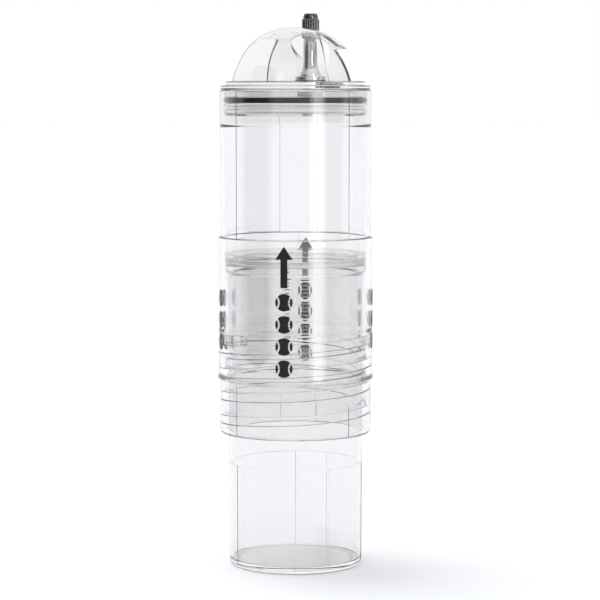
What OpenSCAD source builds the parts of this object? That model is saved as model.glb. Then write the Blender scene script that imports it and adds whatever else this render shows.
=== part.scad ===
// Clear pressuriser can for tennis balls, in millimetres, +Z up.
// A ball tube screws up into a wider outer body. A plug with a domed guard and a
// tyre-type valve closes the top. The origin is the middle of the tube's foot.

/* [Ball tube] */
// Outside diameter of the ball tube under its head
tube_od = 74; // [73.8:0.1:74.2]
// Outside diameter at the foot, smaller by the mould's draft
tube_foot_od = 73.3; // [73:0.1:73.6]
// Inside diameter, a little over a tennis ball
tube_id = 69.4; // [69:0.1:69.8]
// Height from the foot to the rim
tube_h = 173; // [170:1:176]
// Thickness of the closed bottom
tube_floor = 3; // [2.4:0.1:4]
// Height of the faint mould ring above the foot
tube_ring_z = 57; // [50:1:62]
// Height of the wide sealing head at the top
head_h = 10; // [9:0.5:12]

/* [Outer body] */
// Outside diameter of the upper sleeve and of the collar
body_od = 83.3; // [83:0.1:83.6]
// Outside diameter of the printed band
band_od = 85; // [84.6:0.1:85.2]
// Outside diameter of the small lip under the band
lip_od = 85.8; // [85.4:0.1:86]
// Height of the collar's lower rim
body_z = 73.8; // [73:0.1:74.2]
// Height of the lip, where the collar meets the band
lip_z = 104; // [102:0.1:105]
// Height of the band's upper step
band_top_z = 181.9; // [178:0.1:184]
// Height of the body's upper rim
body_top_z = 262; // [261:0.5:263]
// Height of the shoulder that the wider plug bore starts from
plug_bore_z = 242; // [240:0.5:243]
// Smooth bore that the tube's seal runs in
seal_bore_d = 78; // [77.9:0.1:78.1]
// Wider bore in which the thread stands
thread_bore_d = 79; // [78.9:0.1:79.1]
// Bore that takes the plug
plug_bore_d = 79.2; // [79.1:0.1:79.3]
// Height at which the threaded bore ends
thread_top_z = 129.5; // [129:0.5:131]

/* [Thread] */
// Rise of the thread in one turn
pitch = 13; // [12.8:0.1:13.2]
// Height of a ridge at its root
ridge_w = 5.2; // [5:0.1:5.4]
// Height of a ridge at its crest
ridge_crest_w = 4.8; // [4.2:0.1:4.8]
// Inside diameter over the body's ridge
body_crest_d = 75.7; // [75.5:0.1:75.9]
// Outside diameter over the tube's ridge
tube_crest_d = 77.6; // [77.4:0.1:77.6]
// Height of the body's ridge where it passes over +X
body_ridge_z = 87.7; // [87.3:0.1:88]
// How far the tube's ridge sits above the body's ridge
ridge_gap_z = 5.3; // [5.2:0.1:5.6]

/* [Cap] */
// Outside diameter of the cap's flange
flange_od = 82.2; // [81.6:0.1:82.8]
// Thickness of the flange
flange_h = 2.5; // [2:0.1:3]
// Outside diameter of the raised ring round the guard
boss_od = 76.6; // [76:0.1:77]
// Outside diameter of the plug
plug_od = 78.6; // [78.5:0.1:78.7]
// Inside diameter of the plug's skirt
plug_id = 68; // [66:0.5:70]
// Height of the plug's lower edge
plug_z = 248; // [247:0.5:249]
// Height of the middle of the O-ring
o_ring_z = 256.5; // [256:0.1:257]
// Thickness of the O-ring
o_ring_d = 3; // [2.9:0.1:3]
// Half-width of the domed guard
guard_a = 36.1; // [35.8:0.1:36.2]
// Half-height of the domed guard
guard_b = 31.8; // [31:0.1:32.5]
// Wall of the guard
guard_wall = 1.7; // [1.5:0.1:2.6]
// Radius of the guard's hole round the valve
guard_hole_r = 11; // [10:0.5:12]

/* [Valve] */
// Distance of the valve from the can's axis, to the right
valve_x = 8.4; // [8:0.1:9]
// Distance of the valve from the can's axis, to the back
valve_y = 21; // [20:0.5:22]
// Diameter of the polished stem
stem_d = 7.8; // [7.6:0.1:7.9]
// Diameter of the stem's threaded nose
nose_d = 7.6; // [7.5:0.05:7.65]
// Diameter of the valve's flange
valve_flange_d = 17.2; // [16:0.2:17.4]
// Diameter of the knurled cap
knurl_d = 9.7; // [9.5:0.1:10]
// Number of ribs round the knurled cap
knurl_n = 20; // [16:2:32]

/* [Hidden] */

$fn = 96;
eps = 0.6;                       // how deep a ridge is rooted in its wall
ridge_steps = 36;                // facets in one turn of a ridge
ridge_fade = 20;                 // degrees over which a ridge rises at its ends

body_ridge_from = -230;          // first and last angle of the body's ridge
body_ridge_to = 1070;
tube_ridge_from = 222;           // first and last angle of the tube's ridge
tube_ridge_to = 942;
stop_from = 223.6;               // the stop just past the end of the tube's ridge
stop_to = 228;
stop_crest_r = 38;               // how far in the stop reaches
stop_h = 4.6;                    // height of the stop

head_z = tube_h - head_h;
head_r = seal_bore_d / 2 - 0.2;
seal_d = 2.7;                    // thickness of the tube's seal ring
seal_z = tube_h - 4.5;
seal_r = seal_bore_d / 2 - 0.05 - seal_d / 2;
seal_groove_r = seal_r - seal_d / 2 - 0.05;
seal_groove_w = seal_d + 0.7;
foot_recess_r = 31;              // hollow under the foot, which leaves a standing ring
foot_recess_h = 0.8;
foot_bevel = 1.2;

rim_bevel = 1;                   // broken edge round a rim
lip_h = 1.2;
step_bevel = 0.4;
bore_ramp = 2.5;                 // height of the ramp from the threaded bore to the smooth one
shoulder_ramp = 1.2;

flange_z = body_top_z + 0.1;       // the flange's underside, a hair above the body's rim
flange_top_z = body_top_z + flange_h;
plate_z = body_top_z + 1;        // underside of the cap's plate
plate_top_z = body_top_z + 4;
boss_top_z = plate_top_z + 0.8;
boss_id_r = guard_a + 0.25;
plug_bevel = 1.5;
o_groove_w = o_ring_d + 0.6;
o_ring_r = plug_bore_d / 2 - 0.05 - o_ring_d / 2;
o_groove_r = o_ring_r - o_ring_d / 2 - 0.05;
low_groove_z = 251.4;            // narrow second groove round the plug
low_groove_w = 1.7;
low_groove_d = 1.4;

guard_z = flange_top_z;          // centre of the dome's ellipse
guard_steps = 24;
window_right = [-61, 36, 284.5]; // from angle, to angle, and height of the top edge
window_rise = [-61, -29, 291.5]; // the front part of the right window, which goes higher
window_left = [113, 199, 290];

valve_hole_r = 4.2;
shank_r = 4;                     // shank below the valve's flange
shank_z = 254.5;
grommet_h = 1.4;
valve_flange_h = 2.2;
valve_flange_z = plate_top_z + grommet_h;
flare_z = valve_flange_z + valve_flange_h;
flare_r = 6.1;                   // the flare at its foot, and the heights of its two parts
flare_h = 0.8;
flare_top_h = 7.6;
stem_top_z = 299.2;
nose_z = 290.4;                  // where the threaded nose starts
core_bore_r = 2.75;
core_bore_z = 275;
air_bore_r = 1.6;
washer_h = 1.4;
washer_r = 8.3;
nut_h = 4.2;
nut_flat = 12.7;                 // across the flats

core_r = 2.65;
core_z = 281.5;
core_top_z = 296.2;
core_ledge = 1.8;                // thickness of the ledges that close the spring chamber
core_chamber_r = 1.9;
core_hole_r = 0.85;
core_groove_r = 2.15;
core_groove_z = 285.5;
core_groove_w = 3;
pin_r = 0.65;
pin_top_z = 298.7;
pin_collar_r = 1.7;
pin_collar_h = 0.9;
pin_collar_z = core_top_z - core_ledge - pin_collar_h - 0.2;
pin_foot_z = 278.4;
pin_foot_h = 1;
plunger_h = 1.8;
plunger_z = core_z - 0.15 - plunger_h;
plunger_r = 1.9;
spring_wire = 0.36;
spring_r = 1.3;
spring_turns = 8;
spring_steps = 14;
spring_sides = 6;
spring_z = core_z + core_ledge;
spring_h = pin_collar_z - spring_z;

knurl_z = 291.6;                 // lower edge of the valve cap
knurl_top_z = 301.4;
knurl_bore_r = nose_d / 2 + 0.1;
knurl_depth = 0.4;
crown_top_z = 304.2;
crown_r = 4.1;
crown_top_r = 3.3;
crown_notches = 8;
crown_notch = 1.1;
crown_notch_h = 1.6;
crown_core_r = 2.8;              // the notches' floor
crown_rim_h = 0.5;               // closed rim above the notches
gasket_h = 0.8;
gasket_z = stem_top_z + 0.2;
gasket_r = nose_d / 2 - 0.05;
gasket_hole_r = 1.4;
cap_ceiling_z = gasket_z + gasket_h + 0.1;

clear = [0.92, 0.94, 0.94, 0.35];
guard_clear = [0.88, 0.92, 0.94, 0.35];
seal_white = [0.9, 0.9, 0.88, 0.8];
rubber = [0.06, 0.06, 0.065];
steel = [0.62, 0.62, 0.63];
dark_metal = [0.2, 0.2, 0.21];
brass = [0.78, 0.62, 0.3];

// One ring of a ridge: root, crest, crest, root, in the half-plane at angle a.
function ridge_ring(a, z, root_r, crest_r, lift) =
    let (r = root_r + (crest_r - root_r) * lift, c = ridge_crest_w / 2, w = ridge_w / 2)
    [for (p = [[root_r, -w], [r, -c], [r, c], [root_r, w]])
        [p[0] * cos(a), p[0] * sin(a), z + p[1]]];

// Faces of a tube of n rings with m points each, closed at both ends.
function tube_faces(n, m, flip) = concat(
    [for (i = [0 : n - 2]) for (j = [0 : m - 1]) for (t = [0, 1])
        let (k = (j + 1) % m, a = i * m + j, b = i * m + k, c = a + m, d = b + m)
        turn(t == 0 ? [a, b, d] : [a, d, c], flip)],
    [for (j = [1 : m - 2]) turn([0, j + 1, j], flip)],
    [for (j = [1 : m - 2]) let (s = (n - 1) * m) turn([s, s + j, s + j + 1], flip)]);

function turn(f, flip) = flip ? [f[2], f[1], f[0]] : f;

// A single-start right-hand ridge from angle a0 to a1, at height z0 where the angle is 0.
// It rises gently at its lower end, and at its upper end too unless that end is blunt.
module ridge(root_r, crest_r, z0, a0, a1, blunt) {
    n = round((a1 - a0) / 360 * ridge_steps);
    rings = [for (i = [0 : n])
        let (a = a0 + (a1 - a0) * i / n,
            from_end = blunt ? a - a0 : min(a - a0, a1 - a),
            lift = min(1, 0.5 + 0.5 * from_end / ridge_fade))
        ridge_ring(a, z0 + pitch * a / 360, root_r, crest_r, lift)];
    polyhedron(points = [for (ring = rings) each ring],
        faces = tube_faces(n + 1, 4, crest_r < root_r));
}

// A ring with a rectangular section, as a revolved outline.
module ring(r0, r1, z0, z1) {
    rotate_extrude() translate([r0, z0]) square([r1 - r0, z1 - z0]);
}

// A sector of a ring between two angles less than 180 degrees apart.
module sector(r0, r1, a0, a1, z0, z1) {
    translate([0, 0, z0]) linear_extrude(z1 - z0)
        polygon([[r0 * cos(a0), r0 * sin(a0)], [r1 * cos(a0), r1 * sin(a0)],
            [r1 * cos(a1), r1 * sin(a1)], [r0 * cos(a1), r0 * sin(a1)]]);
}

module at_valve() {
    translate([valve_x, valve_y, 0]) children();
}

module outer_body() {
    color(clear) {
        rotate_extrude() polygon([
            [thread_bore_d / 2, body_z + rim_bevel],
            [thread_bore_d / 2 + rim_bevel / 2, body_z],
            [body_od / 2 - rim_bevel, body_z],
            [body_od / 2, body_z + rim_bevel],
            [body_od / 2, lip_z - step_bevel],
            [lip_od / 2, lip_z],
            [lip_od / 2, lip_z + lip_h],
            [band_od / 2, lip_z + lip_h + step_bevel],
            [band_od / 2, band_top_z - step_bevel],
            [body_od / 2, band_top_z],
            [body_od / 2, body_top_z],
            [plug_bore_d / 2, body_top_z],
            [plug_bore_d / 2, plug_bore_z + shoulder_ramp],
            [seal_bore_d / 2, plug_bore_z],
            [seal_bore_d / 2, thread_top_z + bore_ramp],
            [thread_bore_d / 2, thread_top_z]]);
        ridge(thread_bore_d / 2 + eps, body_crest_d / 2, body_ridge_z, body_ridge_from,
            body_ridge_to, false);
        thread_stop();
    }
}

// The block in the body's groove that the end of the tube's ridge meets.
module thread_stop() {
    z = body_ridge_z + ridge_gap_z + pitch * tube_ridge_to / 360;
    sector(stop_crest_r, thread_bore_d / 2 + eps, stop_from, stop_to, z - stop_h / 2,
        z + stop_h / 2);
}

module ball_tube() {
    color(clear) {
        difference() {
            rotate_extrude() polygon([
                [0, foot_recess_h],
                [foot_recess_r, foot_recess_h],
                [foot_recess_r + foot_recess_h, 0],
                [tube_foot_od / 2 - foot_bevel, 0],
                [tube_foot_od / 2, foot_bevel],
                [tube_od / 2 - 0.15, tube_ring_z],
                [tube_od / 2, tube_ring_z],
                [tube_od / 2, head_z - 1],
                [head_r, head_z],
                [head_r, tube_h - 0.5],
                [head_r - 0.5, tube_h],
                [tube_id / 2 + 0.8, tube_h],
                [tube_id / 2, tube_h - 0.8],
                [tube_id / 2, tube_floor + foot_recess_h + 2],
                [tube_id / 2 - 2, tube_floor + foot_recess_h],
                [0, tube_floor + foot_recess_h]]);
            ring(seal_groove_r, head_r + 1, seal_z - seal_groove_w / 2,
                seal_z + seal_groove_w / 2);
        }
        ridge(tube_od / 2 - eps, tube_crest_d / 2, body_ridge_z + ridge_gap_z,
            tube_ridge_from, tube_ridge_to, true);
    }
}

module tube_seal() {
    color(seal_white) translate([0, 0, seal_z])
        rotate_extrude() translate([seal_r, 0]) circle(d = seal_d);
}

module cap_plug() {
    color(clear) difference() {
        rotate_extrude() polygon([
            [0, plate_z],
            [plug_id / 2, plate_z],
            [plug_id / 2, plug_z],
            [plug_od / 2 - plug_bevel, plug_z],
            [plug_od / 2, plug_z + plug_bevel],
            [plug_od / 2, flange_z],
            [flange_od / 2, flange_z],
            [flange_od / 2, flange_top_z - step_bevel],
            [flange_od / 2 - step_bevel, flange_top_z],
            [boss_od / 2, flange_top_z],
            [boss_od / 2, boss_top_z],
            [boss_id_r, boss_top_z],
            [boss_id_r, plate_top_z],
            [0, plate_top_z]]);
        ring(o_groove_r, plug_od, o_ring_z - o_groove_w / 2, o_ring_z + o_groove_w / 2);
        ring(plug_od / 2 - low_groove_d, plug_od, low_groove_z, low_groove_z + low_groove_w);
        at_valve() translate([0, 0, plate_z - 1])
            cylinder(r = valve_hole_r, h = plate_top_z - plate_z + 2);
    }
}

// Point of the guard's ellipse at angle t, with the wall taken off when inset is guard_wall.
function guard_point(t, inset) =
    [(guard_a - inset) * cos(t), guard_z + (guard_b - inset) * sin(t)];

// Angle at which the ellipse passes through the plate's top.
function guard_foot(inset) = asin((plate_top_z - guard_z) / (guard_b - inset));

module guard_shell() {
    rotate_extrude() polygon(concat(
        [for (i = [0 : guard_steps]) guard_point(guard_foot(0)
            + (90 - guard_foot(0)) * i / guard_steps, 0)],
        [for (i = [guard_steps : -1 : 0]) guard_point(guard_foot(guard_wall)
            + (90 - guard_foot(guard_wall)) * i / guard_steps, guard_wall)]));
}

// A window through one side of the guard, from its foot up to w[2].
module guard_window(w) {
    mid = (w[0] + w[1]) / 2;
    sector(guard_a / 3, guard_a * 2, w[0], mid, plate_top_z - 1, w[2]);
    sector(guard_a / 3, guard_a * 2, mid, w[1], plate_top_z - 1, w[2]);
}

module cap_guard() {
    color(guard_clear) difference() {
        guard_shell();
        guard_window(window_right);
        guard_window(window_rise);
        guard_window(window_left);
        at_valve() translate([0, 0, plate_top_z - 1])
            cylinder(r = guard_hole_r, h = guard_b * 2);
    }
}

module cap_o_ring() {
    color(rubber) translate([0, 0, o_ring_z])
        rotate_extrude() translate([o_ring_r, 0]) circle(d = o_ring_d);
}

module valve_stem() {
    color(steel) at_valve() rotate_extrude() polygon([
        [air_bore_r, shank_z],
        [shank_r, shank_z],
        [shank_r, valve_flange_z],
        [valve_flange_d / 2, valve_flange_z],
        [valve_flange_d / 2, flare_z - 0.4],
        [valve_flange_d / 2 - 0.4, flare_z],
        [flare_r, flare_z],
        [flare_r, flare_z + flare_h],
        [stem_d / 2 + 1.1, flare_z + flare_h + flare_top_h * 0.3],
        [stem_d / 2 + 0.4, flare_z + flare_h + flare_top_h * 0.6],
        [stem_d / 2, flare_z + flare_h + flare_top_h],
        [stem_d / 2, nose_z - 0.4],
        [nose_d / 2, nose_z],
        [nose_d / 2, stem_top_z - 0.4],
        [nose_d / 2 - 0.4, stem_top_z],
        [core_bore_r, stem_top_z],
        [core_bore_r, core_bore_z],
        [air_bore_r, core_bore_z - 1]]);
}

module valve_grommet() {
    color(rubber) at_valve() ring(valve_hole_r, valve_flange_d / 2, plate_top_z,
        valve_flange_z);
}

module valve_washer() {
    color(dark_metal) at_valve() ring(valve_hole_r, washer_r, plate_z - washer_h, plate_z);
}

module valve_nut() {
    color(steel) at_valve() translate([0, 0, plate_z - washer_h - nut_h]) difference() {
        cylinder(d = nut_flat / cos(30), h = nut_h, $fn = 6);
        translate([0, 0, -1]) cylinder(r = shank_r + 0.05, h = nut_h + 2);
    }
}

// Outline of the knurl: ribs and grooves round a circle.
function knurl_outline() = [for (i = [0 : 2 * knurl_n - 1])
    let (a = 360 * (i + 0.5) / (2 * knurl_n), r = knurl_d / 2 - (i % 2) * knurl_depth)
    [r * cos(a), r * sin(a)]];

module valve_cap() {
    color(dark_metal) at_valve() difference() {
        union() {
            translate([0, 0, knurl_z]) linear_extrude(knurl_top_z - knurl_z)
                polygon(knurl_outline());
            rotate_extrude() polygon([
                [0, knurl_top_z - 0.5],
                [crown_r, knurl_top_z - 0.5],
                [crown_r, knurl_top_z + 1],
                [crown_top_r, crown_top_z],
                [0, crown_top_z]]);
        }
        translate([0, 0, knurl_z - 1]) cylinder(r = knurl_bore_r,
            h = cap_ceiling_z - knurl_z + 1);
        for (i = [0 : crown_notches - 1]) rotate((i + 0.5) * 360 / crown_notches)
            translate([crown_core_r, -crown_notch / 2, crown_top_z - crown_rim_h - crown_notch_h])
                cube([crown_r, crown_notch, crown_notch_h]);
    }
}

module valve_cap_gasket() {
    color(rubber) at_valve() ring(gasket_hole_r, gasket_r, gasket_z, gasket_z + gasket_h);
}

module valve_core_body() {
    color(brass) at_valve() rotate_extrude() polygon([
        [core_hole_r, core_z],
        [core_r, core_z],
        [core_r, core_groove_z],
        [core_groove_r, core_groove_z],
        [core_groove_r, core_groove_z + core_groove_w],
        [core_r, core_groove_z + core_groove_w],
        [core_r, core_top_z],
        [core_hole_r, core_top_z],
        [core_hole_r, core_top_z - core_ledge],
        [core_chamber_r, core_top_z - core_ledge],
        [core_chamber_r, core_z + core_ledge],
        [core_hole_r, core_z + core_ledge]]);
}

module valve_core_gasket() {
    color(seal_white) at_valve() ring(core_groove_r, core_bore_r - 0.03, core_groove_z,
        core_groove_z + core_groove_w);
}

module valve_core_pin() {
    color(brass) at_valve() rotate_extrude() polygon([
        [0, pin_foot_z],
        [plunger_r, pin_foot_z],
        [plunger_r, pin_foot_z + pin_foot_h],
        [pin_r, pin_foot_z + pin_foot_h],
        [pin_r, pin_collar_z],
        [pin_collar_r, pin_collar_z],
        [pin_collar_r, pin_collar_z + pin_collar_h],
        [pin_r, pin_collar_z + pin_collar_h],
        [pin_r, pin_top_z - 0.3],
        [pin_r - 0.3, pin_top_z],
        [0, pin_top_z]]);
}

module valve_core_plunger() {
    color(rubber) at_valve() ring(pin_r, plunger_r, pin_foot_z + pin_foot_h,
        plunger_z + plunger_h);
}

// The spring is a wire swept along a helix between the lower ledge and the pin's collar.
module valve_core_spring() {
    n = spring_turns * spring_steps;
    w = spring_wire / 2;
    color(steel) at_valve() polyhedron(
        points = [for (i = [0 : n]) for (j = [0 : spring_sides - 1])
            let (a = 360 * i / spring_steps, b = 360 * j / spring_sides,
                r = spring_r + w * cos(b),
                z = spring_z + w + (spring_h - 2 * w) * i / n + w * sin(b))
            [r * cos(a), r * sin(a), z]],
        faces = tube_faces(n + 1, spring_sides, false));
}

outer_body();
ball_tube();
tube_seal();
cap_plug();
cap_guard();
cap_o_ring();
valve_stem();
valve_grommet();
valve_washer();
valve_nut();
valve_cap();
valve_cap_gasket();
valve_core_body();
valve_core_gasket();
valve_core_pin();
valve_core_plunger();
valve_core_spring();
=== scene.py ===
import math

import bmesh
import bpy
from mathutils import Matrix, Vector


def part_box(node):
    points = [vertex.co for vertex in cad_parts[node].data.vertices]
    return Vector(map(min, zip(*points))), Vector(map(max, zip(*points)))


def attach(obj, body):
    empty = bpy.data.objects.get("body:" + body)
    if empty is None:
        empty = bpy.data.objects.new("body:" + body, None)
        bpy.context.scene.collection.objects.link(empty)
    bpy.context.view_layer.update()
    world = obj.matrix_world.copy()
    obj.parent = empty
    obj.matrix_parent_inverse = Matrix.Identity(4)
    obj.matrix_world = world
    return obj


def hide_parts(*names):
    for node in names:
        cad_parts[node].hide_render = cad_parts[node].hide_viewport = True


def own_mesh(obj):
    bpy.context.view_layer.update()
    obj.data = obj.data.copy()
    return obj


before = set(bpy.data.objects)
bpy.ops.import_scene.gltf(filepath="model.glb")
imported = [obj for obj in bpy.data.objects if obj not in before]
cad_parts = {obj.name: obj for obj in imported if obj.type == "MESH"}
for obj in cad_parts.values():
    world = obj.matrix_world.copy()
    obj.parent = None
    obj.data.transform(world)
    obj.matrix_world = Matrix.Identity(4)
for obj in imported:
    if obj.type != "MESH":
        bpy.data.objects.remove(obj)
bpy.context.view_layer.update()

MM = 0.001

# ---------------------------------------------------------------- sizes, in millimetres
# Boxes of the CAD nodes give the main levels and radii; the rest are the part's own details.


def box_mm(node):
    low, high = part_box(node)
    return low / MM, high / MM


TUBE_TOP = box_mm("ball_tube")[1].z
BODY_LOW, BODY_HIGH = box_mm("outer_body")
PLUG_LOW, PLUG_HIGH = box_mm("cap_plug")
STEM_LOW, STEM_HIGH = box_mm("valve_stem")
KNURL_LOW, KNURL_HIGH = box_mm("valve_cap")
NUT_LOW, NUT_HIGH = box_mm("valve_nut")
O_RING_LOW, O_RING_HIGH = box_mm("cap_o_ring")
SEAL_LOW, SEAL_HIGH = box_mm("tube_seal")
SPRING_LOW, SPRING_HIGH = box_mm("valve_core_spring")

TUBE_R = 37.0
TUBE_FOOT_R = 36.65
TUBE_BORE_R = 34.7
TUBE_RING_Z = 57.0
TUBE_CREST_R = 38.8
HEAD_R = 38.8
HEAD_H = 10.0
FOOT_RECESS_R = 31.0
FOOT_RECESS_H = 0.8
FLOOR_T = 3.0
SEAL_GROOVE_R = 36.2
SEAL_GROOVE_W = 3.4

BODY_R = 41.65
BAND_R = 42.5
LIP_R = 42.9
BODY_FOOT = BODY_LOW.z
BODY_TOP = BODY_HIGH.z
LIP_Z = BODY_FOOT + 30.2
BAND_TOP = BODY_FOOT + 108.1
PLUG_BORE_Z = BODY_TOP - 20.0
SEAL_BORE_R = 39.0
THREAD_BORE_R = 39.5
PLUG_BORE_R = 39.6
THREAD_TOP = BODY_FOOT + 55.7
BORE_RAMP = 2.5

PITCH = 13.0
RIDGE_W = 5.2
RIDGE_CREST_W = 4.8
BODY_CREST_R = 37.85
BODY_RIDGE_Z = BODY_FOOT + 13.9
BODY_RIDGE_SPAN = (-229.6, 1069.6)
TUBE_RIDGE_Z = BODY_RIDGE_Z + 5.3
TUBE_RIDGE_SPAN = (222.0, 942.0)
STOP_SPAN = (223.6, 228.0)
STOP_R = 38.0
STOP_H = 4.6

# Shallow panels in the outer walls, as (azimuth from, azimuth to).
PANEL_DEPTH = 0.2
PANEL_STEP = 0.15       # half the width of a panel's border, in degrees round the wall and in mm up it
WALL_MARGIN = 0.2       # a panel sinks what lies outside its wall's radius less this
BODY_PANEL_LEVELS = ((BODY_FOOT + 0.8, LIP_Z - 1.2), (BAND_TOP + 0.4, BODY_TOP - 1.0))
TUBE_PANEL_LEVELS = ((2.5, TUBE_RING_Z),)
BODY_PANELS = ((-140.0, -108.0), (-77.0, -46.0), (40.0, 72.0), (103.0, 134.0))
TUBE_PANELS = ((-150.0, -120.0), (-90.5, -60.0), (-30.0, -6.0), (30.0, 60.0), (90.0, 120.0), (147.0, 172.0))

PLUG_R = 39.3
PLUG_BORE = 34.0
PLUG_FOOT = PLUG_LOW.z
FLANGE_R = 41.1
FLANGE_Z = BODY_TOP + 0.1
FLANGE_TOP = BODY_TOP + 2.5
PLATE_Z = BODY_TOP + 1.0
PLATE_TOP = BODY_TOP + 4.0
BOSS_R = 38.3
BOSS_TOP = PLUG_HIGH.z
GUARD_A = 36.1
GUARD_B = 31.8
GUARD_WALL = 1.7
GUARD_GAP = 0.25
GUARD_Z = FLANGE_TOP
GUARD_HOLE_R = 11.0
SILL = PLATE_TOP - 3.0
# Windows as outlines of (azimuth, height, corner). The right one rises at its front, beside a hanging tab.
WINDOW_RIGHT = ((-58.0, SILL), (29.0, SILL), (34.0, 273.0, 3.0), (38.0, 284.5, 4.0), (-1.0, 284.5, 1.5),
                (-27.0, 285.5, 2.0), (-30.0, 292.5, 1.0), (-56.0, 291.0, 12.0), (-62.0, 274.0, 4.0))
WINDOW_LEFT = ((117.0, SILL), (196.0, SILL), (203.0, 278.0, 5.0), (199.0, 291.0, 8.0), (119.0, 291.0, 7.0))

VALVE_HOLE_R = 4.2
VALVE = ((STEM_LOW.x + STEM_HIGH.x) / 2, (STEM_LOW.y + STEM_HIGH.y) / 2)
STEM_TOP = STEM_HIGH.z
STEM_FOOT = STEM_LOW.z

SEGMENTS = 288
SMALL_SEGMENTS = 96
SHARP = math.radians(32)
ON_AXIS = 1e-6


# ---------------------------------------------------------------- mesh helpers


def polar(r, angle, z, centre=(0, 0)):
    return centre[0] + r * math.cos(angle), centre[1] + r * math.sin(angle), z


def bridge(bm, low, high):
    """Faces between two rings of vertices. A ring may be one vertex repeated."""
    count = len(low)
    for i in range(count):
        k = (i + 1) % count
        corners = list(dict.fromkeys([low[i], low[k], high[k], high[i]]))
        if len(corners) > 2:
            bm.faces.new(corners)


def smooth(bm, sharp=SHARP):
    """Smooth shading, except where faces meet sharply."""
    bm.normal_update()
    for face in bm.faces:
        face.smooth = True
    for edge in bm.edges:
        edge.smooth = len(edge.link_faces) == 2 and edge.calc_face_angle(0) < sharp


def link(bm, name, sharp=SHARP):
    """Makes an object of a bmesh in millimetres."""
    bmesh.ops.remove_doubles(bm, verts=bm.verts, dist=1e-4)
    bmesh.ops.recalc_face_normals(bm, faces=bm.faces)
    smooth(bm, sharp)
    bmesh.ops.scale(bm, vec=(MM, MM, MM), verts=bm.verts)
    mesh = bpy.data.meshes.new(name)
    bm.to_mesh(mesh)
    bm.free()
    piece = bpy.data.objects.new(name, mesh)
    bpy.context.scene.collection.objects.link(piece)
    return piece


def rounded(outline, steps=4):
    """An outline of (r, z) or (r, z, corner) points, with each corner cut back by its size and curved. Where there is
    room, a point just outside each end of a curve keeps its shading off the flat beside it."""
    beyond, least_flat = 0.15, 0.01
    out = []
    count = len(outline)
    for i, point in enumerate(outline):
        here = Vector(point[:2])
        corner = point[2] if len(point) > 2 else 0
        if not corner:
            out.append(here)
            continue
        cuts = []
        supports = []
        for other in (outline[i - 1], outline[(i + 1) % count]):
            side = Vector(other[:2]) - here
            flat = side.length - corner - (other[2] if len(other) > 2 else 0)
            cuts.append(side.normalized() * corner)
            supports.append(cuts[-1] * (1 + min(beyond, flat / (3 * corner))) if flat > least_flat else None)
        if supports[0]:
            out.append(here + supports[0])
        for k in range(steps + 1):
            t = k / steps
            out.append(here + cuts[0] * (1 - t) ** 2 + cuts[1] * t ** 2)
        if supports[1]:
            out.append(here + supports[1])
    return out


def lathe_mesh(outline, segments, centre=(0, 0), panels=None):
    """A bmesh of an outline turned round a vertical axis. An outline that starts and ends on the axis is closed there.
    Panels sink the wall outside a radius, between their azimuths and between their heights."""
    bm = bmesh.new()
    turn = [360 * i / segments for i in range(segments)]
    sunk = []
    if panels:
        spans, outer, levels = panels
        edges = [edge % 360 for span in spans for edge in span]
        turn = [t for t in turn if all(abs(t - edge) > 2 * PANEL_STEP for edge in edges)]
        turn = sorted(turn + [(edge + side * PANEL_STEP) % 360 for edge in edges for side in (-1, 1)])
        sunk = [any((t - start) % 360 < end - start for start, end in spans) for t in turn]
        borders = [z + side * PANEL_STEP for level in levels for z in level for side in (-1, 1)]
        outline = with_heights(outline, outer, borders)
    rings = []
    for r, z in outline:
        if r < ON_AXIS:
            rings.append([bm.verts.new((centre[0], centre[1], z))] * len(turn))
            continue
        ring = []
        within = panels and r > outer and any(low < z < high for low, high in levels)
        for i, t in enumerate(turn):
            ring.append(bm.verts.new(polar(r - PANEL_DEPTH if within and sunk[i] else r, math.radians(t), z, centre)))
        rings.append(ring)
    on_axis = outline[0][0] < ON_AXIS and outline[-1][0] < ON_AXIS
    pairs = zip(rings, rings[1:]) if on_axis else zip(rings, rings[1:] + rings[:1])
    for low, high in pairs:
        bridge(bm, low, high)
    return bm


def with_heights(outline, outer, heights):
    """The outline with more points where its outer wall crosses the given heights."""
    out = []
    for here, after in zip(outline, outline[1:] + outline[:1]):
        out.append(here)
        if min(here.x, after.x) > outer:
            crossed = [z for z in heights if min(here.y, after.y) < z < max(here.y, after.y)]
            for z in sorted(crossed, reverse=here.y > after.y):
                out.append(here.lerp(after, (z - here.y) / (after.y - here.y)))
    return out


def lathe(name, outline, segments=SEGMENTS, centre=(0, 0), panels=None):
    return link(lathe_mesh(rounded(outline), segments, centre, panels), name)


def sweep(name, rings):
    """A solid through a row of rings with equal numbers of points, closed at both ends."""
    bm = bmesh.new()
    rows = [[bm.verts.new(p) for p in ring] for ring in rings]
    for low, high in zip(rows, rows[1:]):
        bridge(bm, low, high)
    bm.faces.new(rows[0])
    bm.faces.new(rows[-1])
    return link(bm, name)


def boolean(piece, cutter, operation):
    """Joins cutter to piece or cuts it out, then removes cutter and shades the result again."""
    modifier = piece.modifiers.new("boolean", "BOOLEAN")
    modifier.operation = operation
    modifier.solver = "EXACT"
    modifier.object = cutter
    graph = bpy.context.evaluated_depsgraph_get()
    mesh = bpy.data.meshes.new_from_object(piece.evaluated_get(graph))
    piece.modifiers.clear()
    old = piece.data
    piece.data = mesh
    bpy.data.meshes.remove(old)
    cutter_mesh = cutter.data
    bpy.data.objects.remove(cutter)
    bpy.data.meshes.remove(cutter_mesh)
    bm = bmesh.new()
    bm.from_mesh(piece.data)
    bmesh.ops.dissolve_degenerate(bm, edges=bm.edges, dist=1e-7)
    smooth(bm)
    bm.to_mesh(piece.data)
    bm.free()


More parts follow.
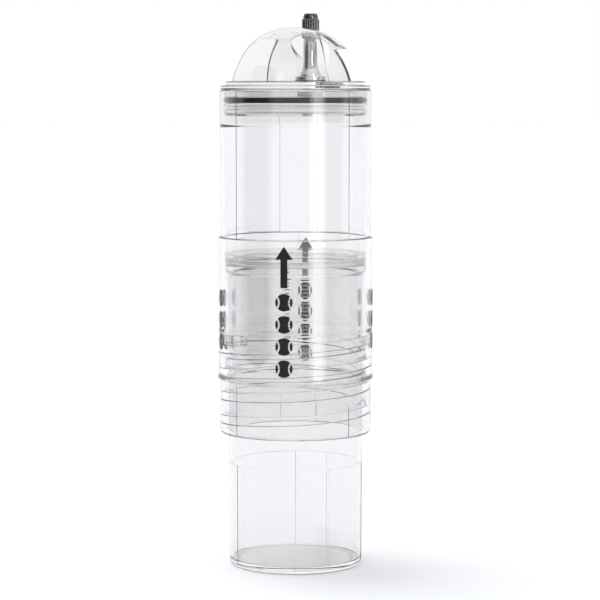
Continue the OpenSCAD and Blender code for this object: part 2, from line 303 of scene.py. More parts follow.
def place(piece, body, material, slot, *nodes):
    """Gives a piece its body and its material, and hides the CAD nodes that it stands for. slot is not used."""
    piece.data.materials.clear()
    piece.data.materials.append(material)
    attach(piece, body)
    if nodes:
        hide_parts(*nodes)
    return piece


# ---------------------------------------------------------------- materials


def new_material(name):
    material = bpy.data.materials.new(name)
    material.use_nodes = True
    tree = material.node_tree
    tree.nodes.clear()
    return material, tree


def node(tree, kind, **inputs):
    made = tree.nodes.new(kind)
    for key, value in inputs.items():
        made.inputs[key.replace("_", " ")].default_value = value
    return made


def noise(tree, scale, detail=3.0, stretch=(1, 1, 1)):
    """Noise over the piece's own coordinates, scale in features per metre."""
    coords = tree.nodes.new("ShaderNodeTexCoord")
    mapping = tree.nodes.new("ShaderNodeMapping")
    mapping.inputs["Scale"].default_value = stretch
    texture = node(tree, "ShaderNodeTexNoise", Scale=scale, Detail=detail)
    tree.links.new(coords.outputs["Object"], mapping.inputs["Vector"])
    tree.links.new(mapping.outputs["Vector"], texture.inputs["Vector"])
    return texture


def ranged(tree, source, low, high, from_low=0.3, from_high=0.7):
    """A texture's value stretched to run from low to high."""
    made = node(tree, "ShaderNodeMapRange")
    made.inputs["From Min"].default_value = from_low
    made.inputs["From Max"].default_value = from_high
    made.inputs["To Min"].default_value = low
    made.inputs["To Max"].default_value = high
    tree.links.new(source, made.inputs["Value"])
    return made.outputs["Result"]


def ramp(tree, source, stops):
    """A colour ramp over a value; stops are (position, colour)."""
    made = tree.nodes.new("ShaderNodeValToRGB")
    band = made.color_ramp
    band.elements[0].position, band.elements[0].color = stops[0]
    band.elements[1].position, band.elements[1].color = stops[-1]
    for position, colour in stops[1:-1]:
        element = band.elements.new(position)
        element.color = colour
    tree.links.new(source, made.inputs["Fac"])
    return made.outputs["Color"]


def grey(value, warm=0.0):
    return (value + warm, value, value - warm, 1.0)


def clear_plastic(name, tint, edge, edge_from, shade_through, rough=(0.0, 0.035)):
    """Polished clear polycarbonate: light passes with a faint tint that deepens where the wall is seen edge on,
    the surface has the slow waves of a moulding and a few fine rub marks."""
    material, tree = new_material(name)
    shader = node(tree, "ShaderNodeBsdfPrincipled", IOR=1.58)
    shader.inputs["Transmission Weight"].default_value = 1.0
    facing = node(tree, "ShaderNodeLayerWeight", Blend=0.5)
    colour = ramp(tree, facing.outputs["Facing"], [(0.0, tint), (edge_from, tint), (1.0, edge)])
    tree.links.new(colour, shader.inputs["Base Color"])
    rub = noise(tree, 900.0, 4.0, (1, 1, 0.08))
    tree.links.new(ranged(tree, rub.outputs["Fac"], rough[0], rough[1], 0.55, 0.8), shader.inputs["Roughness"])
    waves = noise(tree, 26.0, 1.0, (1, 1, 0.4))
    bump = node(tree, "ShaderNodeBump", Strength=0.05, Distance=0.0006)
    tree.links.new(waves.outputs["Fac"], bump.inputs["Height"])
    tree.links.new(bump.outputs["Normal"], shader.inputs["Normal"])
    path = tree.nodes.new("ShaderNodeLightPath")
    through = tree.nodes.new("ShaderNodeBsdfTransparent")
    through.inputs["Color"].default_value = shade_through
    mix = tree.nodes.new("ShaderNodeMixShader")
    output = tree.nodes.new("ShaderNodeOutputMaterial")
    tree.links.new(path.outputs["Is Shadow Ray"], mix.inputs["Fac"])
    tree.links.new(shader.outputs["BSDF"], mix.inputs[1])
    tree.links.new(through.outputs["BSDF"], mix.inputs[2])
    tree.links.new(mix.outputs["Shader"], output.inputs["Surface"])
    return material


def solid(name, colour_low, colour_high, rough, metallic=0.0, grain=1400.0, bump_mm=0.02,
          stretch=(1, 1, 1), specular=0.5):
    """An opaque material whose colour and roughness vary with a fine grain."""
    material, tree = new_material(name)
    shader = node(tree, "ShaderNodeBsdfPrincipled", Metallic=metallic)
    shader.inputs["Specular IOR Level"].default_value = specular
    texture = noise(tree, grain, 5.0, stretch)
    colour = ramp(tree, texture.outputs["Fac"], [(0.35, colour_low), (0.65, colour_high)])
    tree.links.new(colour, shader.inputs["Base Color"])
    tree.links.new(ranged(tree, texture.outputs["Fac"], rough[0], rough[1]), shader.inputs["Roughness"])
    bump = node(tree, "ShaderNodeBump", Strength=0.4, Distance=bump_mm * MM)
    tree.links.new(texture.outputs["Fac"], bump.inputs["Height"])
    tree.links.new(bump.outputs["Normal"], shader.inputs["Normal"])
    output = tree.nodes.new("ShaderNodeOutputMaterial")
    tree.links.new(shader.outputs["BSDF"], output.inputs["Surface"])
    return material


CLEAR = clear_plastic("clear_polycarbonate", grey(0.915, 0.003), grey(0.95), 0.7, grey(0.93))
GUARD_CLEAR = clear_plastic("guard_polycarbonate", (0.93, 0.937, 0.945, 1), grey(0.5), 0.82, grey(0.88))
GUARD_CUT = clear_plastic("guard_cut_faces", grey(0.97), grey(0.97), 0.8, grey(0.88), (0.4, 0.5))
SILICONE = clear_plastic("clear_silicone", grey(0.9), grey(0.9), 0.8, grey(0.9), (0.2, 0.35))
RUBBER = solid("black_rubber", grey(0.01), grey(0.022), (0.35, 0.55), grain=2600.0, specular=0.15)
STEEL = solid("nickel_steel", grey(0.42), grey(0.56), (0.06, 0.16), 1.0, 500.0, 0.004, (1, 1, 6))
DARK_METAL = solid("dark_plated_metal", grey(0.09), grey(0.2), (0.2, 0.36), 1.0, 1800.0, 0.01)
BRASS = solid("core_brass", (0.5, 0.34, 0.12, 1), (0.7, 0.52, 0.22, 1), (0.18, 0.34), 1.0, 900.0, 0.006, (1, 1, 8))
INK = solid("black_ink", grey(0.006), grey(0.014), (0.3, 0.45), grain=5000.0, bump_mm=0.004, specular=0.25)


# ---------------------------------------------------------------- thread ridges


def helix_ridge(name, root_r, crest_r, height, span, blunt):
    """A right-hand ridge rooted in a wall, fading in at its lower end and, unless blunt, out at its upper end."""
    start, end = span
    fade = 24.0
    steps = round((end - start) / 360 * SEGMENTS / 2)
    lip = 0.35
    faded_sink = 0.12      # how far a faded end of the crest goes into the wall
    sink = 0.5 if crest_r > root_r else -0.5
    out = 1 if crest_r > root_r else -1
    profile = rounded([
        (root_r - sink, -RIDGE_W / 2), (root_r, -RIDGE_W / 2),
        (crest_r, -RIDGE_CREST_W / 2, lip), (crest_r, RIDGE_CREST_W / 2, lip),
        (root_r, RIDGE_W / 2), (root_r - sink, RIDGE_W / 2)], 3)
    rings = []
    for i in range(steps + 1):
        angle = start + (end - start) * i / steps
        from_end = angle - start if blunt else min(angle - start, end - angle)
        lift = min(1.0, from_end / fade)
        lift = lift * lift * (3 - 2 * lift)
        a = math.radians(angle)
        z = height + PITCH * angle / 360
        ring = []
        for r, dz in profile:
            above = max(0.0, (r - root_r) * out)
            r = root_r + out * above * lift - (sink if above == 0 and r != root_r else 0)
            if above:
                r -= out * faded_sink * (1 - lift)
            ring.append(polar(r, a, z + dz))
        rings.append(ring)
    return sweep(name, rings)


def stop_block(name):
    """The block that the end of the tube's ridge meets."""
    z = TUBE_RIDGE_Z + PITCH * TUBE_RIDGE_SPAN[1] / 360
    root_r = THREAD_BORE_R + 0.5
    outline = rounded([
        (STOP_R, z - STOP_H / 2, 0.4), (root_r, z - STOP_H / 2),
        (root_r, z + STOP_H / 2), (STOP_R, z + STOP_H / 2, 0.4)], 3)
    rings = []
    for i in range(5):
        a = math.radians(STOP_SPAN[0] + (STOP_SPAN[1] - STOP_SPAN[0]) * i / 4)
        rings.append([polar(r, a, h) for r, h in outline])
    return sweep(name, rings)


# ---------------------------------------------------------------- the can


def make_body():
    piece = lathe("body_shell", [
        (THREAD_BORE_R, BODY_FOOT + 1.0, 0.3),
        (THREAD_BORE_R + 0.5, BODY_FOOT, 0.3),
        (BODY_R, BODY_FOOT, 1.3),
        (BODY_R, LIP_Z - 0.5, 0.25),
        (LIP_R, LIP_Z, 0.3),
        (LIP_R, LIP_Z + 1.2, 0.35),
        (BAND_R, LIP_Z + 1.6, 0.3),
        (BAND_R, BAND_TOP - 0.4, 0.3),
        (BODY_R, BAND_TOP, 0.3),
        (BODY_R, BODY_TOP, 0.9),
        (PLUG_BORE_R, BODY_TOP, 0.3),
        (PLUG_BORE_R, PLUG_BORE_Z + 1.2, 0.4),
        (SEAL_BORE_R, PLUG_BORE_Z, 0.4),
        (SEAL_BORE_R, THREAD_TOP + BORE_RAMP, 0.4),
        (THREAD_BORE_R, THREAD_TOP, 0.4)], panels=(BODY_PANELS, BODY_R - WALL_MARGIN, BODY_PANEL_LEVELS))
    ridge = helix_ridge("body_ridge", THREAD_BORE_R, BODY_CREST_R, BODY_RIDGE_Z, BODY_RIDGE_SPAN, False)
    boolean(piece, ridge, "UNION")
    boolean(piece, stop_block("stop"), "UNION")
    place(piece, "outer_body", CLEAR, "clear_body", "outer_body")


def make_tube():
    head_z = TUBE_TOP - HEAD_H
    seal_z = (SEAL_LOW.z + SEAL_HIGH.z) / 2
    inner_floor = FOOT_RECESS_H + FLOOR_T
    piece = lathe("tube_shell", [
        (0, FOOT_RECESS_H),
        (FOOT_RECESS_R, FOOT_RECESS_H, 0.2),
        (FOOT_RECESS_R + FOOT_RECESS_H, 0, 0.2),
        (TUBE_FOOT_R, 0, 1.9),
        (TUBE_R - 0.15, TUBE_RING_Z, 0.05),
        (TUBE_R, TUBE_RING_Z + 0.1, 0.05),
        (TUBE_R, head_z - 1.2, 0.4),
        (HEAD_R, head_z, 0.3),
        (HEAD_R, seal_z - SEAL_GROOVE_W / 2, 0.3),
        (SEAL_GROOVE_R, seal_z - SEAL_GROOVE_W / 2, 0.3),
        (SEAL_GROOVE_R, seal_z + SEAL_GROOVE_W / 2, 0.3),
        (HEAD_R, seal_z + SEAL_GROOVE_W / 2, 0.3),
        (HEAD_R, TUBE_TOP, 0.3),
        (TUBE_BORE_R, TUBE_TOP, 0.4),
        (TUBE_BORE_R, inner_floor, 0.8),
        (0, inner_floor)], panels=(TUBE_PANELS, TUBE_FOOT_R - WALL_MARGIN, TUBE_PANEL_LEVELS))
    ridge = helix_ridge("tube_ridge", TUBE_R, TUBE_CREST_R, TUBE_RIDGE_Z, TUBE_RIDGE_SPAN, True)
    boolean(piece, ridge, "UNION")
    place(piece, "ball_tube", CLEAR, "clear_body", "ball_tube")


def make_plug():
    middle = (O_RING_LOW.z + O_RING_HIGH.z) / 2
    groove_w = O_RING_HIGH.z - O_RING_LOW.z + 0.6
    groove_r = PLUG_BORE_R - 0.1 - (O_RING_HIGH.z - O_RING_LOW.z)
    low_groove = PLUG_FOOT + 3.4
    low_groove_r, low_groove_w = PLUG_R - 1.4, 1.7
    piece = lathe("plug_shell", [
        (0, PLATE_Z),
        (PLUG_BORE, PLATE_Z, 0.8),
        (PLUG_BORE, PLUG_FOOT, 0.3),
        (PLUG_R - 1.5, PLUG_FOOT, 0.3),
        (PLUG_R, PLUG_FOOT + 1.5, 0.3),
        (PLUG_R, low_groove, 0.2),
        (low_groove_r, low_groove, 0.2),
        (low_groove_r, low_groove + low_groove_w, 0.2),
        (PLUG_R, low_groove + low_groove_w, 0.2),
        (PLUG_R, middle - groove_w / 2, 0.2),
        (groove_r, middle - groove_w / 2, 0.3),
        (groove_r, middle + groove_w / 2, 0.3),
        (PLUG_R, middle + groove_w / 2, 0.2),
        (PLUG_R, FLANGE_Z, 0.2),
        (FLANGE_R, FLANGE_Z, 0.25),
        (FLANGE_R, FLANGE_TOP, 0.7),
        (BOSS_R, FLANGE_TOP, 0.3),
        (BOSS_R, BOSS_TOP, 0.5),
        (GUARD_A + GUARD_GAP, BOSS_TOP, 0.3),
        (GUARD_A + GUARD_GAP, PLATE_TOP, 0.2),
        (0, PLATE_TOP)])
    hole = lathe("valve_hole", [(0, PLATE_Z - 2), (VALVE_HOLE_R, PLATE_Z - 2), (VALVE_HOLE_R, PLATE_TOP + 2),
                                (0, PLATE_TOP + 2)], SMALL_SEGMENTS, VALVE)
    boolean(piece, hole, "DIFFERENCE")
    place(piece, "cap", CLEAR, "clear_body", "cap_plug")


def guard_outline():
    """The section of the guard's shell: an ellipse and the same ellipse less the wall."""
    outline = []
    steps = 60
    for inset, order in ((0.0, range(steps + 1)), (GUARD_WALL, range(steps, -1, -1))):
        foot = math.asin((PLATE_TOP - GUARD_Z) / (GUARD_B - inset))
        for i in order:
            t = foot + (math.pi / 2 - foot) * i / steps
            r = (GUARD_A - inset) * math.cos(t)
            outline.append((0.0 if i == steps else r, GUARD_Z + (GUARD_B - inset) * math.sin(t)))
    return outline


def window_cutter(window):
    """A radial prism through the guard, with the window's outline."""
    outline = rounded(window, 10)
    longest_step = 3.0
    dense = []
    for a, b in zip(outline, outline[1:] + outline[:1]):
        steps = max(1, math.ceil((b - a).length / longest_step))
        dense += [a + (b - a) * i / steps for i in range(steps)]
    rings = [[polar(r, math.radians(p.x), p.y) for p in dense] for r in (9.0, 24.0, 60.0)]
    return sweep("window", rings)


def guard_mesh():
    """The shell's outer and inner caps, closed at the foot. Both poles lie on the axis."""
    outline = guard_outline()
    half = len(outline) // 2
    bm = bmesh.new()
    skins = []
    for part in (outline[:half], outline[half:]):
        rings = []
        for r, z in part:
            if r < ON_AXIS:
                rings.append([bm.verts.new((0, 0, z))] * SEGMENTS)
                continue
            rings.append([bm.verts.new(polar(r, 2 * math.pi * i / SEGMENTS, z)) for i in range(SEGMENTS)])
        skins.append(rings)
    rows = [(a, b) for rings in skins for a, b in zip(rings, rings[1:])]
    rows.append((skins[1][-1], skins[0][0]))
    for a, b in rows:
        bridge(bm, a, b)
    return bm


def make_guard():
    piece = link(guard_mesh(), "guard_shell")
    for window in (WINDOW_RIGHT, WINDOW_LEFT):
        boolean(piece, window_cutter(window), "DIFFERENCE")
    hole = lathe("guard_hole", [(0, PLATE_TOP - 3), (GUARD_HOLE_R, PLATE_TOP - 3),
                                (GUARD_HOLE_R, PLATE_TOP + 50), (0, PLATE_TOP + 50)], SMALL_SEGMENTS, VALVE)
    boolean(piece, hole, "DIFFERENCE")
    bevel = piece.modifiers.new("soften", "BEVEL")
    bevel.limit_method = "ANGLE"
    bevel.angle_limit = math.radians(50)
    bevel.width = 0.5 * MM
    bevel.segments = 3
    bevel.material = 0
    place(piece, "cap", GUARD_CLEAR, "clear_guard", "cap_guard")
    piece.data.materials.append(GUARD_CUT)
    for face in piece.data.polygons:
        face.material_index = 0 if on_guard_skin(face.center / MM) else 1


def on_guard_skin(point):
    """True on the guard's outer or inner surface, false on the faces of its cut-outs."""
    r = math.hypot(point.x, point.y)
    tolerance = 0.004
    for inset in (0.0, GUARD_WALL):
        level = math.hypot(r / (GUARD_A - inset), (point.z - GUARD_Z) / (GUARD_B - inset))
        if abs(level - 1) < tolerance:
            return True
    return False


# ---------------------------------------------------------------- the valve


def screw_profile(outline_low, outline_high, r, z_low, z_high, pitch, depth):
    """Outline points of fine rings that stand for a thread between two levels."""
    points = list(outline_low)
    turns = int((z_high - z_low) / pitch)
    for i in range(turns):
        z = z_low + i * pitch
        points += [(r - depth, z + 0.1 * pitch), (r, z + 0.5 * pitch), (r - depth, z + 0.9 * pitch)]
    return points + list(outline_high)


def make_stem():
    flange_r, thread_r, shaft_r, nose_r = 8.6, 4.0, 3.9, 3.8
    air_bore_r, core_bore_r = 1.6, 2.75
    flange_z = PLATE_TOP + 1.4
    flare_z = flange_z + 2.2
    nose_z = STEM_TOP - 8.8
    core_bore_z = STEM_FOOT + 20.5
    nut_pitch, nose_pitch, thread_depth = 0.8, 0.794, 0.28
    outline = [(air_bore_r, STEM_FOOT, 0.2)]
    outline = screw_profile(outline, [(thread_r, PLATE_Z - 1.0)], thread_r, STEM_FOOT + 0.3, PLATE_Z - 1.2,
                            nut_pitch, thread_depth)
    outline += [
        (thread_r, flange_z, 0.1),
        (flange_r, flange_z, 0.35),
        (flange_r, flare_z, 0.6),
        (6.1, flare_z, 0.3),
        (6.1, flare_z + 0.8, 0.4),
        (5.0, flare_z + 3.1, 1.0),
        (4.3, flare_z + 5.4, 1.2),
        (shaft_r, flare_z + 8.4, 1.6),
        (shaft_r, nose_z - 0.6, 0.15),
        (nose_r - 0.3, nose_z, 0.1)]
    outline = screw_profile(outline, [(nose_r - 0.3, STEM_TOP - 0.5), (nose_r - 0.6, STEM_TOP, 0.15)],
                            nose_r, nose_z + 0.2, STEM_TOP - 0.6, nose_pitch, thread_depth)
    outline += [(core_bore_r, STEM_TOP, 0.15), (core_bore_r, core_bore_z, 0.1), (air_bore_r, core_bore_z - 1, 0.1)]
    piece = lathe("valve_stem_turned", outline, SMALL_SEGMENTS, VALVE)
    place(piece, "cap", STEEL, "valve_steel", "valve_stem")


def make_nut():
    """A hexagonal nut with turned-down corners and a bore."""
    low, high = NUT_LOW.z, NUT_HIGH.z
    flat = (NUT_HIGH.y - NUT_LOW.y) / 2
    corner = flat / math.cos(math.pi / 6)
    face_r = flat * 1.02
    bore = 4.05
    chamfer = 0.9
    sides = 72
    bm = bmesh.new()
    rows = []
    for r_limit, z in ((bore, low), (face_r, low), (corner, low + chamfer),
                       (corner, high - chamfer), (face_r, high), (bore, high)):
        row = []
        for i in range(sides):
            a = 2 * math.pi * i / sides
            off = (a + math.pi / 6) % (math.pi / 3) - math.pi / 6
            across = flat / math.cos(math.pi / 6 - abs(off)) if r_limit > bore else bore
            row.append(bm.verts.new(polar(min(r_limit, across), a, z, VALVE)))
        rows.append(row)
    for a, b in zip(rows, rows[1:] + rows[:1]):
        bridge(bm, a, b)
    place(link(bm, "valve_nut_chamfered"), "cap", STEEL, "valve_steel", "valve_nut")


def make_spring():
    """The wire spring in the valve, with closed coils at its ends. The real spring shortens as the pin is pressed;
    this one is made at one length.
    """
    wire = 0.18            # the wire's radius
    coil_r = (SPRING_HIGH.x - SPRING_LOW.x) / 2 - wire
    length = SPRING_HIGH.z - SPRING_LOW.z
    turns = 8
    steps = 32
    sides = 12
    closed_rise = 2.1 * wire
    open_rise = (length - 2 * wire - 2 * closed_rise) / (turns - 2)
    rings = []
    for i in range(turns * steps + 1):
        turn = i / steps
        angle = 2 * math.pi * turn
        middle = SPRING_LOW.z + wire + closed_rise * (min(turn, 1) + max(turn - turns + 1, 0)) \
            + open_rise * min(max(turn - 1, 0), turns - 2)
        ring = []
        for j in range(sides):
            around = 2 * math.pi * j / sides
            ring.append(polar(coil_r + wire * math.cos(around), angle, middle + wire * math.sin(around), VALVE))
        rings.append(ring)
    piece = place(sweep("valve_core_spring_wire", rings), "cap", STEEL, "valve_steel", "valve_core_spring")
    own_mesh(piece)


def make_valve_cap():
    """The knurled cap: ribs with rounded backs, a waist under the crown, and a fluted crown."""
    low, high = KNURL_LOW.z, KNURL_HIGH.z
    outer = (KNURL_HIGH.x - KNURL_LOW.x) / 2
    ribs = 20
    groove_depth = 0.5
    per_rib = 10
    count = ribs * per_rib
    ceiling = STEM_TOP + 1.1
    bore = 3.9
    # Levels as (radius, height, share of the grooves' depth).
    levels = [
        (bore + 0.3, low, 0), (outer - 0.55, low, 0), (outer - 0.25, low + 0.3, 0.3), (outer, low + 0.9, 1),
        (outer, high - 3.7, 1), (outer - 0.2, high - 3.1, 0.4), (outer - 0.6, high - 2.85, 0),
        (outer - 0.75, high - 2.7, 0), (outer - 0.75, high - 1.7, 0), (outer - 1.55, high, 0), (0, high, 0)]
    inside = [(0, ceiling, 0), (bore, ceiling, 0), (bore, low + 0.3, 0)]
    bm = bmesh.new()
    rows = []
    for r, z, knurl in levels + inside:
        if r == 0:
            rows.append([bm.verts.new((VALVE[0], VALVE[1], z))] * count)
            continue
        row = []
        for i in range(count):
            a = 2 * math.pi * i / count
            wave = abs(math.sin(math.pi * i / per_rib))
            groove = knurl * groove_depth * (1 - wave ** 0.6)
            row.append(bm.verts.new(polar(r - groove, a, z, VALVE)))
        rows.append(row)
    for n, (a, b) in enumerate(zip(rows, rows[1:] + rows[:1])):
        if n != len(levels) - 1:
            bridge(bm, a, b)
    piece = link(bm, "valve_cap_knurled", math.radians(40))
    notches = 8
    for i in range(notches):
        boolean(piece, crown_notch((i + 0.5) * 2 * math.pi / notches, high), "DIFFERENCE")
    place(piece, "valve_cap", DARK_METAL, "dark_metal", "valve_cap")


def crown_notch(angle, top):
    """A notch in the crown's flank with a round foot, closed above by the crown's rim."""
    half = 0.55            # half the notch's width
    foot_steps = 6
    low, high = top - 2.1, top - 0.5
    outline = [(-half, high), (-half, low + half)]
    outline += [(-half * math.cos(t), low + half - half * math.sin(t))
                for t in [math.pi * k / foot_steps for k in range(1, foot_steps)]]
    outline += [(half, low + half), (half, high)]
    across, along = Vector((-math.sin(angle), math.cos(angle))), Vector((math.cos(angle), math.sin(angle)))
    rings = []
    for s in (2.8, 8.0):
        ring = []
        for u, z in outline:
            point = Vector(VALVE) + across * u + along * s
            ring.append((point.x, point.y, z))
        rings.append(ring)
    return sweep("notch", rings)


# ---------------------------------------------------------------- printed marks

PRINT_AZIMUTHS = (-98.3, 81.7, -8.3, -163.0)
PRINT_LIFT = 0.02
PRINT_THICK = 0.05
MARK_W = 9.4
MARK_LOW = LIP_Z + 4.4
MARK_HIGH = MARK_LOW + 70.4
TICK_OFFSET = 11.4
TICK_LOW = MARK_LOW + 17.0
TICK_HIGH = TICK_LOW + 35.4


def printed(name, outlines, azimuth):
    """Flat outlines of (across, height) in millimetres, wrapped round the band as a thin layer of ink."""
    bm = bmesh.new()
    for outline in outlines:
        flat = [bm.verts.new((u, z, 0)) for u, z in outline]
        bm.faces.new(flat)
    bm.normal_update()
    bmesh.ops.triangulate(bm, faces=bm.faces, ngon_method="EAR_CLIP")
    low_u = min(v.co.x for v in bm.verts)
    high_u = max(v.co.x for v in bm.verts)
    widest_strip = 0.8
    steps = int((high_u - low_u) / widest_strip)
    for i in range(1, steps + 1):
        cut = low_u + i * (high_u - low_u) / (steps + 1)
        bmesh.ops.bisect_plane(bm, geom=bm.verts[:] + bm.edges[:] + bm.faces[:], plane_co=(cut, 0, 0),
                               plane_no=(1, 0, 0))
    made = bmesh.ops.extrude_face_region(bm, geom=bm.faces[:])
    for vert in [g for g in made["geom"] if isinstance(g, bmesh.types.BMVert)]:
        vert.co.z = PRINT_THICK
    for vert in bm.verts:
        a = math.radians(azimuth) + vert.co.x / BAND_R
        vert.co = polar(BAND_R + PRINT_LIFT + vert.co.z, a, vert.co.y)
    place(link(bm, name), "outer_body", INK, "black_ink")


def arc(u, z, r, start, end, side=1):
    """Points along an arc, mirrored across where side is -1."""
    steps = 24
    return [(u + side * r * math.cos(a), z + r * math.sin(a))
            for a in [start + (end - start) * i / steps for i in range(steps + 1)]]


def ball_sign(u, z, r):
    """A ball seen from the side: three solid fields with two curved seams left clear between them."""
    seam_r, seam_w, seam_u = r * 1.05, 0.9, r * 1.62

    def crossing(edge_r):
        """Where a seam's edge meets the ball's outline, as the angles round the ball and round the seam."""
        limit = math.acos((seam_u ** 2 + r ** 2 - edge_r ** 2) / (2 * seam_u * r))
        return limit, math.asin(min(1.0, r * math.sin(limit) / edge_r))

    fields = []
    edge_r = seam_r - seam_w / 2
    limit, reach = crossing(edge_r)
    for side in (-1, 1):
        fields.append(arc(u, z, r, -limit, limit, side)
                      + arc(u + side * seam_u, z, edge_r, reach, -reach, -side)[1:-1])
    edge_r = seam_r + seam_w / 2
    limit, reach = crossing(edge_r)
    fields.append(arc(u, z, r, limit, math.pi - limit)
                  + arc(u - seam_u, z, edge_r, reach, -reach)[1:-1]
                  + arc(u, z, r, math.pi + limit, 2 * math.pi - limit)
                  + arc(u + seam_u, z, edge_r, -reach, reach, -1)[1:-1])
    return fields


def arrow(u, low, high, width):
    """A broad arrow that points up."""
    neck = high - width * 0.75
    half, stem = width / 2, width * 0.2
    return [[(u - stem, low), (u + stem, low), (u + stem, neck), (u + half, neck), (u, high), (u - half, neck),
             (u - stem, neck)]]


def tick_marks():
    """A scale beside the column, with every third tick long."""
    count, thick = 19, 0.28
    ticks = []
    for i in range(count):
        z = TICK_LOW + (TICK_HIGH - TICK_LOW) * i / (count - 1)
        half = 2.2 if i % 3 == 0 else 1.2
        ticks.append([(TICK_OFFSET - half, z - thick), (TICK_OFFSET + half, z - thick),
                      (TICK_OFFSET + half, z + thick), (TICK_OFFSET - half, z + thick)])
    return ticks


def make_prints():
    """Full columns of four balls, an arrow and ticks at front and back, and three balls at each side."""
    balls, gap = 4, 2.5
    for n, azimuth in enumerate(PRINT_AZIMUTHS):
        full = n < 2
        marks = []
        for i in range(0 if full else 1, balls):
            marks += ball_sign(0, MARK_LOW + MARK_W / 2 + i * (MARK_W + gap), MARK_W / 2)
        if full:
            marks += arrow(0, MARK_LOW + balls * (MARK_W + gap) + 0.6, MARK_HIGH, MARK_W)
        printed(f"ball_marks_{n}", marks, azimuth)
        if full:
            printed(f"tick_marks_{n}", tick_marks(), azimuth)


# ---------------------------------------------------------------- CAD nodes that stay as they are


def paint(name, material):
    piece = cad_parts[name]
    piece.data.materials.clear()
    piece.data.materials.append(material)


def paint_cad():
    for name in ("cap_o_ring", "valve_grommet", "valve_cap_gasket", "valve_core_plunger"):
        paint(name, RUBBER)
    for name in ("tube_seal", "valve_core_gasket"):
        paint(name, SILICONE)
    for name in ("valve_core_body", "valve_core_pin"):
        paint(name, BRASS)
    paint("valve_washer", DARK_METAL)


# ---------------------------------------------------------------- studio


def make_floor():
    bm = bmesh.new()
    bmesh.ops.create_circle(bm, cap_ends=True, segments=96, radius=17.0)
    mesh = bpy.data.meshes.new("floor")
    bm.to_mesh(mesh)
    bm.free()
    floor = bpy.data.objects.new("floor", mesh)
    floor.location.z = -0.0002
    bpy.context.scene.collection.objects.link(floor)
    material, tree = new_material("pale_floor")
    shader = node(tree, "ShaderNodeBsdfPrincipled", Roughness=0.9)
    shader.inputs["Base Color"].default_value = (0.55, 0.56, 0.58, 1)
    shader.inputs["Specular IOR Level"].default_value = 0.0
    shader.inputs["Emission Color"].default_value = grey(1.0)
    shader.inputs["Emission Strength"].default_value = 0.05
    output = tree.nodes.new("ShaderNodeOutputMaterial")
    tree.links.new(shader.outputs["BSDF"], output.inputs["Surface"])
    floor.data.materials.append(material)


def make_world():
    """White to look at and to light with. What the gloss mirrors is dim in front of the can, where the room is,
    brighter above, and white behind it."""
    world = bpy.data.worlds.new("studio")
    bpy.context.scene.world = world
    world.use_nodes = True
    tree = world.node_tree
    tree.nodes.clear()
    coords = tree.nodes.new("ShaderNodeTexCoord")
    split = tree.nodes.new("ShaderNodeSeparateXYZ")
    tree.links.new(coords.outputs["Generated"], split.inputs["Vector"])
    room = ramp(tree, split.outputs["Z"], [(0.0, grey(0.12)), (0.12, grey(0.16)), (0.5, grey(0.8)), (1.0, grey(0.5))])
    behind = ramp(tree, split.outputs["Y"], [(0.1, grey(0.0)), (0.75, grey(1.0))])
    path = tree.nodes.new("ShaderNodeLightPath")
    reflected = tree.nodes.new("ShaderNodeMath")
    reflected.operation = "SUBTRACT"
    reflected.use_clamp = True
    tree.links.new(path.outputs["Is Glossy Ray"], reflected.inputs[0])
    tree.links.new(path.outputs["Is Transmission Ray"], reflected.inputs[1])
    seen = tree.nodes.new("ShaderNodeBackground")
    room_seen = tree.nodes.new("ShaderNodeBackground")
    gloss = tree.nodes.new("ShaderNodeMixShader")
    mix = tree.nodes.new("ShaderNodeMixShader")
    output = tree.nodes.new("ShaderNodeOutputWorld")
    seen.inputs["Color"].default_value = (1, 1, 1, 1)
    tree.links.new(room, room_seen.inputs["Color"])
    tree.links.new(behind, gloss.inputs["Fac"])
    tree.links.new(room_seen.outputs["Background"], gloss.inputs[1])
    tree.links.new(seen.outputs["Background"], gloss.inputs[2])
    tree.links.new(reflected.outputs["Value"], mix.inputs["Fac"])
    tree.links.new(seen.outputs["Background"], mix.inputs[1])
    tree.links.new(gloss.outputs["Shader"], mix.inputs[2])
    tree.links.new(mix.outputs["Shader"], output.inputs["Surface"])


def key_light():
    """A broad soft lamp above, left and behind, which gives the shadow at the foot. Gloss doesn't see it."""
    lamp = bpy.data.lights.new("key", "SUN")
    lamp.energy = 2.8
    lamp.angle = math.radians(30)
    made = bpy.data.objects.new("key", lamp)
    made.location = (-0.3, 0.26, 1.2)
    made.rotation_euler = made.location.to_track_quat("Z", "Y").to_euler()
    made.visible_camera = False
    made.visible_glossy = False
    made.visible_transmission = False
    bpy.context.scene.collection.objects.link(made)


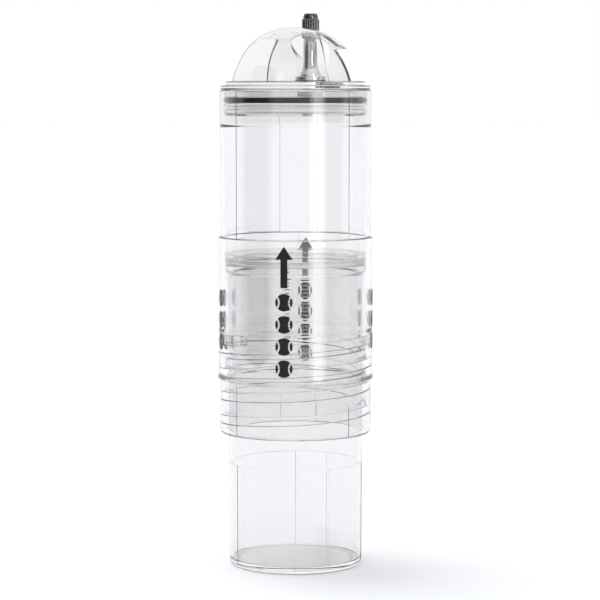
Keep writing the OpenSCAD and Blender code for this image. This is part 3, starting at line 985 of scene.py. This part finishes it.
def mirror_card(name, azimuth, distance, width, low, high, strength, soft, through=False):
    """An upright panel that only gloss sees: a softbox if it shines, a dark card if it doesn't.
    With through, gloss inside the clear plastic sees it too.
    Its brightness falls off over the share soft of its width at each side."""
    bm = bmesh.new()
    bmesh.ops.create_grid(bm, x_segments=1, y_segments=1, size=0.5)
    mesh = bpy.data.meshes.new(name)
    bm.to_mesh(mesh)
    bm.free()
    card = bpy.data.objects.new(name, mesh)
    a = math.radians(azimuth)
    card.location = (distance * math.cos(a), distance * math.sin(a), (low + high) / 2)
    card.rotation_euler = Vector((-math.cos(a), -math.sin(a), 0)).to_track_quat("Z", "Y").to_euler()
    card.scale = (width, high - low, 1)
    bpy.context.scene.collection.objects.link(card)
    material, tree = new_material(name)
    coords = tree.nodes.new("ShaderNodeTexCoord")
    split = tree.nodes.new("ShaderNodeSeparateXYZ")
    tree.links.new(coords.outputs["Generated"], split.inputs["Vector"])
    black, full = (0, 0, 0, 1), (1, 1, 1, 1)
    fall = ramp(tree, split.outputs["X"], [(0.0, black), (soft, full), (1 - soft, full), (1.0, black)])
    glow = node(tree, "ShaderNodeEmission", Strength=strength)
    glow.inputs["Color"].default_value = (1, 1, 1, 1)
    clear = tree.nodes.new("ShaderNodeBsdfTransparent")
    mix = tree.nodes.new("ShaderNodeMixShader")
    output = tree.nodes.new("ShaderNodeOutputMaterial")
    tree.links.new(fall, mix.inputs["Fac"])
    tree.links.new(clear.outputs["BSDF"], mix.inputs[1])
    tree.links.new(glow.outputs["Emission"], mix.inputs[2])
    tree.links.new(mix.outputs["Shader"], output.inputs["Surface"])
    mesh.materials.append(material)
    card.visible_camera = False
    card.visible_diffuse = False
    card.visible_transmission = through
    card.visible_shadow = False


def make_camera():
    """Level with the top of the outer body, tipped down a little, as far off as the photograph's perspective says."""
    data = bpy.data.cameras.new("camera")
    data.sensor_width = 36.0
    data.lens = 141.2
    camera = bpy.data.objects.new("camera", data)
    camera.location = (0.0025, -1.294, BODY_TOP * MM)
    camera.rotation_euler = (math.radians(90 - 5.1), 0, 0)
    bpy.context.scene.collection.objects.link(camera)
    bpy.context.scene.camera = camera


def make_studio():
    make_floor()
    make_world()
    key_light()
    mirror_card("strip_right", -57.0, 0.9, 0.46, -0.3, 0.9, 5.5, 0.36)
    mirror_card("dark_left", -152.0, 1.0, 1.1, 0.0, 1.0, 0.03, 0.2, through=True)
    mirror_card("fill_right", -5.0, 1.0, 0.5, 0.0, 1.0, 1.3, 0.3)
    bpy.context.scene.view_settings.view_transform = "Standard"


make_camera()
make_body()
make_tube()
make_plug()
make_guard()
make_stem()
make_nut()
make_spring()
make_valve_cap()
make_prints()
paint_cad()
make_studio()
